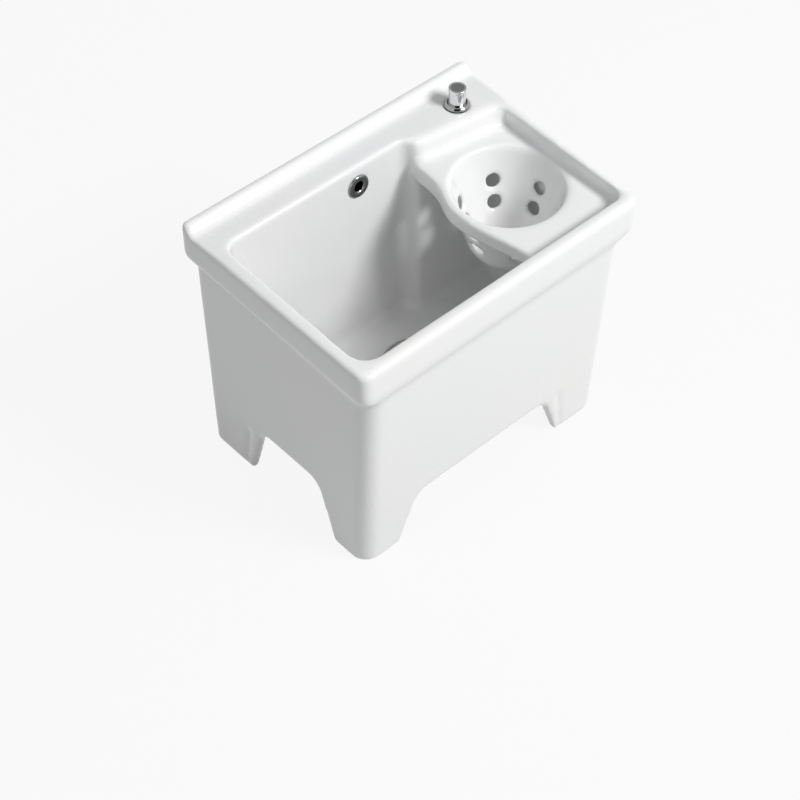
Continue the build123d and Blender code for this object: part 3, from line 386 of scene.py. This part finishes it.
def glaze_material():
    """White glaze with a faint warm and cool drift, slight waviness and bare clay under the feet."""
    s = Surface("glazed_white", (0.845, 0.848, 0.844), 0.09, ior=1.52)
    drift = s.span(s.noise(scale=5.0, detail=2.0))
    white = s.blend(drift, (0.835, 0.843, 0.845), (0.855, 0.853, 0.843))
    bare = s.span(s.axis("Z"), 1.0, 0.0, start=0.0006, stop=0.0016)
    grain = s.noise(scale=420.0, detail=4.0)
    clay = s.blend(grain, (0.62, 0.57, 0.50), (0.76, 0.72, 0.65))
    s.color(bare, white, clay)
    gloss = s.span(s.noise(scale=28.0, detail=3.0), 0.075, 0.13)
    s.rough(s.calc("MAXIMUM", gloss, s.calc("MULTIPLY", bare, 0.85)))
    s.bump(s.noise(scale=16.0, detail=2.0), strength=0.25, distance=0.0012)
    s.bump(s.noise(scale=240.0, detail=2.0), strength=0.05, distance=0.0004)
    return s.mat


def chrome_material(name, tone):
    """Polished chrome with faint smudges; a low tone paints dark reflection into the colour, as if the
    room around it were dark.
    """
    s = Surface(name, (tone, tone, tone), 0.06, metallic=1.0)
    smudge = s.span(s.noise(scale=60.0, detail=4.0))
    s.color(smudge, (tone * 0.95, tone * 0.96, tone * 0.98), (tone * 1.02,) * 3)
    s.rough(s.span(s.noise(scale=130.0, detail=5.0), 0.035, 0.11))
    s.bump(s.noise(scale=300.0, detail=2.0), strength=0.03, distance=0.0002)
    return s.mat


def steel_material(name, tone, low, high, stretch):
    """Satin steel; stretch sets the run of the brushing."""
    s = Surface(name, (tone, tone, tone), (low + high) / 2, metallic=1.0)
    brushed = s.noise(scale=260.0, detail=4.0, stretch=stretch)
    s.color(s.span(brushed), (tone * 0.86,) * 3, (tone * 1.08, tone * 1.08, tone * 1.07))
    s.rough(s.span(brushed, low, high))
    s.bump(brushed, strength=0.12, distance=0.0002)
    return s.mat


def brass_material():
    """Turned brass, tarnished in patches."""
    s = Surface("brass", (0.72, 0.56, 0.29), 0.28, metallic=1.0)
    tarnish = s.span(s.noise(scale=45.0, detail=5.0), start=0.4, stop=0.68)
    s.color(tarnish, (0.76, 0.60, 0.32), (0.52, 0.39, 0.20))
    turned = s.noise(scale=160.0, detail=3.0, stretch=(1, 1, 14))
    s.rough(s.span(turned, 0.20, 0.42))
    s.bump(turned, strength=0.15, distance=0.0002)
    return s.mat


def moulded_material(name, color, darker, low, high, grain, strength):
    """Moulded plastic or rubber with a fine even grain."""
    s = Surface(name, color, (low + high) / 2)
    s.color(s.span(s.noise(scale=35.0, detail=4.0)), darker, color)
    s.rough(s.span(s.noise(scale=90.0, detail=4.0), low, high))
    s.bump(s.noise(scale=grain, detail=3.0), strength, distance=0.0003)
    return s.mat


def wire_material():
    """Drawn wire with the fine lines of its strands."""
    s = Surface("wire_steel", (0.50, 0.50, 0.51), 0.35, metallic=1.0)
    strand = s.noise(scale=900.0, detail=2.0, stretch=(1, 1, 0.4))
    s.color(s.span(strand), (0.36, 0.36, 0.37), (0.60, 0.60, 0.61))
    s.rough(s.span(strand, 0.28, 0.5))
    s.bump(strand, strength=0.4, distance=0.0003)
    return s.mat


def finish_piece(obj, body, slot, material, *nodes):
    obj.data.materials.clear()
    obj.data.materials.append(material)
    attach(obj, body)
    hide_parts(*nodes)


def shade_smooth(mesh, angle=None):
    for face in mesh.polygons:
        face.use_smooth = True
    if angle is not None:
        mesh.set_sharp_from_angle(angle=math.radians(angle))


def glazed_skin():
    """The body's solid remeshed finely, its edges softened as glaze and slip leave them."""
    mesh = NODES["ceramic_body"].data.copy()
    work = link(bpy.data.objects.new("glazed_work", mesh))
    bm = bmesh.new()
    bm.from_mesh(mesh)
    bmesh.ops.remove_doubles(bm, verts=bm.verts, dist=MERGE)
    bm.to_mesh(mesh)
    bm.free()
    remesh = work.modifiers.new("remesh", "REMESH")
    remesh.mode = "VOXEL"
    remesh.voxel_size = VOXEL
    fine = frozen(work)
    bpy.data.objects.remove(work)
    soften(fine, SMOOTH_ROUNDS)
    soften(fine, STEP_ROUNDS, step_share)
    steepen_rim(fine)
    skin = link(bpy.data.objects.new("glazed_body", fine))
    shade_smooth(fine)
    fewer = skin.modifiers.new("fewer", "DECIMATE")
    triangles = 2 * len(fine.polygons)
    fewer.ratio = min(1.0, SKIN_FACES / triangles)
    final = frozen(skin)
    skin.modifiers.clear()
    skin.data = final
    shade_smooth(final)
    final.name = "glazed_body"
    return skin


def ramp(values, start, stop):
    """Goes from 0 to 1 as the values go from start to stop."""
    return np.clip((values - start) / (stop - start), 0, 1)


def read_points(mesh):
    points = np.empty(len(mesh.vertices) * 3)
    mesh.vertices.foreach_get("co", points)
    return points.reshape(-1, 3)


def write_points(mesh, points):
    mesh.vertices.foreach_set("co", points.ravel())
    mesh.update()


def step_share(points):
    """1 along the step from the deck to the shelf, fading out around it."""
    x, y, z = points.T
    slope = (STEP_END[1] - STEP_START[1]) / (STEP_END[0] - STEP_START[0])
    away = np.abs(y - STEP_START[1] - slope * (x - STEP_START[0]))
    share = ramp(away, *STEP_AWAY) * ramp(z, *STEP_HEIGHTS)
    return share * ramp(x, *STEP_LEFT) * ramp(x, *STEP_RIGHT)


def steepen_rim(mesh):
    """Brings the top of the right-hand rim's inner wall inwards."""
    points = read_points(mesh)
    x, y, z = points.T
    share = ramp(z, *RIM_HEIGHTS) * ramp(x, *RIM_INSIDE) * ramp(x, *RIM_OUTSIDE)
    share *= ramp(y, *RIM_BACK) * ramp(y, *RIM_FRONT)
    points[:, 0] = x - RIM_SHIFT * share
    write_points(mesh, points)


def soften(mesh, rounds, share=None):
    """Moves each point towards the middle of its neighbours; share limits it to a region."""
    points = read_points(mesh)
    count = len(points)
    step = SMOOTH_STEP if share is None else SMOOTH_STEP * share(points)
    edges = np.empty(len(mesh.edges) * 2, np.int64)
    mesh.edges.foreach_get("vertices", edges)
    a, b = edges[0::2], edges[1::2]
    valence = np.bincount(a, minlength=count) + np.bincount(b, minlength=count)
    valence = np.maximum(valence, 1)
    for _ in range(rounds):
        for k in range(3):
            column = points[:, k]
            total = np.bincount(a, column[b], count) + np.bincount(b, column[a], count)
            points[:, k] = column + step * (total / valence - column)
    write_points(mesh, points)


def lathe(name, profile, origin, segments, axis=(0, 0, 1)):
    """Turned piece from (radius, height) points in millimetres along an axis through origin."""
    direction = Vector(axis).normalized()
    turn = direction.to_track_quat("Z", "Y").to_matrix().to_4x4()
    place = Matrix.Translation(Vector(origin) * MM) @ turn
    bm = bmesh.new()
    rings = []
    for radius, height in profile:
        if radius <= 0:
            rings.append([bm.verts.new((0, 0, height * MM))])
            continue
        ring = []
        for i in range(segments):
            angle = 2 * math.pi * i / segments
            ring.append(bm.verts.new((
                radius * MM * math.cos(angle), radius * MM * math.sin(angle), height * MM)))
        rings.append(ring)
    for low, high in zip(rings, rings[1:]):
        for i in range(segments):
            j = (i + 1) % segments
            corners = [low[i % len(low)], low[j % len(low)], high[j % len(high)], high[i % len(high)]]
            corners = list(dict.fromkeys(corners))
            if len(corners) > 2:
                bm.faces.new(corners)
    bmesh.ops.transform(bm, matrix=place, verts=bm.verts)
    return smooth_piece(bm, name, TURNED_ANGLE)


def smooth_piece(bm, name, angle):
    """Object from loose mesh data, its faces turned outwards and shaded smooth up to an angle."""
    bmesh.ops.recalc_face_normals(bm, faces=bm.faces)
    mesh = bpy.data.meshes.new(name)
    bm.to_mesh(mesh)
    bm.free()
    shade_smooth(mesh, angle)
    return link(bpy.data.objects.new(name, mesh))


def rounded(points, radii):
    """Profile points with each corner that has a radius turned into a short arc."""
    out = []
    last = len(points) - 1
    for i, (spot, r) in enumerate(zip(points, radii)):
        if r == 0 or i in (0, last):
            out.append(spot)
            continue
        corner = Vector(spot)
        before = Vector(points[i - 1]) - corner
        after = Vector(points[i + 1]) - corner
        r = min(r, before.length * ARC_SHARE, after.length * ARC_SHARE)
        p = corner + before.normalized() * r
        q = corner + after.normalized() * r
        for k in range(ARC_STEPS + 1):
            t = k / ARC_STEPS
            out.append(tuple(p * (1 - t) ** 2 + corner * 2 * t * (1 - t) + q * t ** 2))
    return out


def threads(radius, depth, low, high, pitch):
    """Profile of ridges from low to high."""
    count = max(1, round((high - low) / pitch))
    step = (high - low) / count
    root = radius - depth
    points = []
    for i in range(count):
        start = low + i * step
        points += [(root, start), (root, start + RIDGE_RISE * step)]
        points += [(radius, start + share * step) for share in RIDGE_TOP]
    points.append((root, high))
    return points


def tidy_node(name, material, bevel):
    """Softens a CAD node's edges with modifiers and gives it its material."""
    obj = NODES[name]
    weld = obj.modifiers.new("weld", "WELD")
    weld.merge_threshold = WELD
    if bevel:
        edge = obj.modifiers.new("bevel", "BEVEL")
        edge.width = BEVEL
        edge.segments = BEVEL_SEGMENTS
        edge.limit_method = "ANGLE"
        edge.angle_limit = math.radians(BEVEL_ANGLE)
    for slot in obj.material_slots:
        slot.link = "OBJECT"
        slot.material = material


# Moulded pieces: colour, darker colour, roughness from and to, scale of the grain and its strength
MATERIALS = {
    "glaze": glaze_material(),
    "chrome": chrome_material("chrome", tone=0.76),
    # Copy of the chrome with a low tone: painted dark reflection, for the collar and the overflow's
    # ring
    "chrome_painted_dark_reflection": chrome_material("chrome_painted_dark_reflection", tone=0.34),
    "satin": steel_material("polished_steel", tone=0.55, low=0.16, high=0.34, stretch=(1, 1, 6)),
    "steel": steel_material("steel", tone=0.60, low=0.22, high=0.38, stretch=(6, 6, 1)),
    "brass": brass_material(),
    "wire": wire_material(),
    "rubber": moulded_material(
        "rubber_black", (0.035, 0.035, 0.036), (0.022, 0.022, 0.023), 0.6, 0.8, 700, 0.3),
    "sheath": moulded_material(
        "sheath_black", (0.05, 0.05, 0.053), (0.035, 0.035, 0.038), 0.38, 0.5, 900, 0.15),
    "black": moulded_material(
        "plastic_black", (0.06, 0.06, 0.063), (0.04, 0.04, 0.042), 0.42, 0.6, 1200, 0.25),
    "white": moulded_material(
        "plastic_white", (0.80, 0.80, 0.78), (0.74, 0.74, 0.715), 0.34, 0.5, 1000, 0.12),
    "hose": moulded_material(
        "hose_grey", (0.52, 0.53, 0.54), (0.45, 0.46, 0.47), 0.36, 0.5, 800, 0.12),
}


def spline_curve(name, route, radius):
    data = bpy.data.curves.new(name, "CURVE")
    data.dimensions = "3D"
    spline = data.splines.new("NURBS")
    spline.points.add(len(route) - 1)
    for point, place in zip(spline.points, route):
        point.co = (*place, 1)
    spline.use_endpoint_u = True
    spline.order_u = SPLINE_ORDER
    spline.resolution_u = SPLINE_STEPS
    data.bevel_depth = radius
    data.bevel_resolution = CABLE_ROUNDNESS
    data.use_fill_caps = True
    return link(bpy.data.objects.new(name, data))


def make_cable():
    cable = spline_curve("cable_line", CABLE_ROUTE, CABLE_R)
    finish_piece(cable, "tub", "sheath_black", MATERIALS["sheath"], "cable_sheath", "cable_wire")


def spline_points(route):
    """Points along the route's own spline."""
    guide = spline_curve("guide_line", route, 0)
    mesh = frozen(guide)
    points = [v.co.copy() for v in mesh.vertices]
    bpy.data.objects.remove(guide)
    bpy.data.meshes.remove(mesh)
    return points


def resample(points, step):
    """Points at even distances along a line, and the line's length."""
    lengths = [0.0]
    for a, b in zip(points, points[1:]):
        lengths.append(lengths[-1] + (b - a).length)
    count = round(lengths[-1] / step)
    out = []
    k = 0
    for i in range(count + 1):
        target = lengths[-1] * i / count
        while k < len(points) - 2 and lengths[k + 1] < target:
            k += 1
        share = (target - lengths[k]) / max(lengths[k + 1] - lengths[k], TINY)
        out.append(points[k].lerp(points[k + 1], min(max(share, 0), 1)))
    return out, lengths[-1]


def make_hose():
    """Ribbed drain hose with a smooth cuff at each end."""
    points, total = resample(spline_points(HOSE_ROUTE), RIB_PITCH / RIB_RINGS)
    bm = bmesh.new()
    rings = []
    normal = Vector((1, 0, 0))
    for i, spot in enumerate(points):
        ahead = points[min(i + 1, len(points) - 1)] - points[max(i - 1, 0)]
        ahead.normalize()
        normal = (normal - ahead * normal.dot(ahead)).normalized()
        other = ahead.cross(normal)
        along = total * i / (len(points) - 1)
        cuff = min(along, total - along) < HOSE_CUFF
        wave = 0.5 - 0.5 * math.cos(2 * math.pi * along / RIB_PITCH)
        radius = HOSE_R if cuff else HOSE_R - RIB_DEPTH * wave ** RIB_POWER
        ring = []
        for k in range(HOSE_SIDES):
            angle = 2 * math.pi * k / HOSE_SIDES
            ring.append(bm.verts.new(
                spot + normal * (radius * math.cos(angle)) + other * (radius * math.sin(angle))))
        rings.append(ring)
    for low, high in zip(rings, rings[1:]):
        for k in range(HOSE_SIDES):
            j = (k + 1) % HOSE_SIDES
            bm.faces.new((low[k], low[j], high[j], high[k]))
    bm.faces.new(rings[0][::-1])
    bm.faces.new(rings[-1])
    hose = smooth_piece(bm, "overflow_line", HOSE_ANGLE)
    finish_piece(hose, "tub", "hose_grey", MATERIALS["hose"], "overflow_hose")


def make_chrome_pieces():
    """Knob, the collar with its threaded sleeve, and the overflow's ring."""
    # dark is the chrome with painted dark reflection; the collar and the overflow's ring get it
    chrome, dark = MATERIALS["chrome"], MATERIALS["chrome_painted_dark_reflection"]
    knob = rounded([
        (0, 372.0), (11.0, 372.0), (11.0, 379.0), (8.6, 379.0), (8.6, 381.4), (11.0, 381.4),
        (11.0, 410.6), (10.55, 411.1), (10.55, 411.5), (11.6, 411.8), (11.6, 415.0),
        (9.7, 415.0), (9.3, 414.75), (0, 414.75)],
        [0, 0.4, 0, 0, 0, 0.3, 0.3, 0.15, 0.15, 0.3, 0.9, 0.25, 0.25, 0])
    finish_piece(lathe("knob_chrome", knob, KNOB_AXIS, TURNED_SEGMENTS),
                 "knob", "chrome", chrome, "control_knob")
    sleeve = [(11.08, 392.4), (11.08, 326.2)] + threads(13.0, 0.55, 326.2, 372.0, SLEEVE_PITCH)
    sleeve += [(13.0, 388.2)]
    collar = rounded([
        (13.0, 388.2), (16.5, 388.2), (16.5, 389.4), (14.6, 391.6), (13.4, 392.4), (11.08, 392.4)],
        [0, 0.3, 0.5, 0.9, 0.5, 0])
    finish_piece(lathe("collar_chrome", sleeve + collar, KNOB_AXIS, TURNED_SEGMENTS),
                 "tub", "chrome", dark, "deck_flange")
    ring = rounded([
        (7.0, -18.9), (7.0, 1.4), (8.6, 2.6), (12.6, 3.0), (15.2, 2.4), (16.0, 1.0), (16.0, 0.0),
        (10.5, 0.0)],
        [0, 0.8, 0.7, 1.2, 0.9, 0.7, 0.2, 0])
    ring += threads(10.5, 0.5, -18.9, -11.0, OVERFLOW_PITCH)[::-1]
    ring.append(ring[0])
    finish_piece(lathe("overflow_trim", ring, OVERFLOW_FACE, TURNED_SEGMENTS, OVERFLOW_WAY),
                 "tub", "chrome", dark, "overflow_ring")


def make_drain_pieces():
    """Drain's dished flange with its threaded shank, and the domed plug."""
    satin = MATERIALS["satin"]
    flange = rounded([
        (34.0, 78.0), (34.0, 114.1), (37.0, 114.1), (45.0, 121.9), (46.4, 123.1), (50.6, 123.1),
        (52.0, 121.9), (52.0, 120.5), (38.0, 120.5)],
        [0, 0.4, 0.6, 1.0, 0.7, 0.9, 0.5, 0.2, 0])
    flange += [(38.0, 116.0)] + threads(38.0, 0.9, 78.0, 115.0, DRAIN_PITCH)[::-1] + [(34.0, 78.0)]
    finish_piece(lathe("drain_dish", flange, DRAIN_AXIS, DRAIN_SEGMENTS),
                 "tub", "polished_steel", satin, "drain_flange")
    plug = rounded([
        (0, 112.9), (24.0, 112.9), (24.0, 116.4), (36.0, 116.4), (36.0, 119.2), (33.0, 120.3),
        (24.0, 121.5), (12.0, 122.2), (7.0, 122.3), (6.0, 121.9), (4.4, 121.9), (3.6, 122.4),
        (0, 122.4)],
        [0, 0.3, 0.2, 0.3, 1.2, 2.0, 3.0, 3.0, 0.4, 0.3, 0.3, 0.4, 0])
    finish_piece(lathe("plug_dome", plug, DRAIN_AXIS, DRAIN_SEGMENTS),
                 "plug", "polished_steel", satin, "drain_plug")


def dress_nodes():
    """Gives the nodes that keep their own shape their looks; the wires are too thin for a bevel."""
    looks = {
        "rubber": ("knob_seal", "deck_gasket", "drain_gasket", "under_gasket", "plug_seal",
                   "body_gasket", "outlet_washer", "overflow_gasket"),
        "brass": ("knob_spindle", "deck_nut", "stem_lifter"),
        "steel": ("plug_stem", "hose_clips", "cable_ferrules"),
        "black": ("deck_washer", "sleeve_cap", "cable_guide", "guide_nut", "overflow_elbow"),
        "white": ("drain_nut", "stem_guide", "drain_body", "outlet_elbow", "outlet_nut"),
        "wire": ("knob_wire", "plug_wire"),
    }
    for look, names in looks.items():
        for name in names:
            tidy_node(name, MATERIALS[look], bevel=look != "wire")


make_camera()
make_cable()
make_hose()
finish_piece(glazed_skin(), "tub", "glazed_white", MATERIALS["glaze"], "ceramic_body")
make_chrome_pieces()
make_drain_pieces()
dress_nodes()
make_floor()
make_cards()
make_world()
make_key_light()

bpy.context.scene.view_settings.view_transform = "Standard"
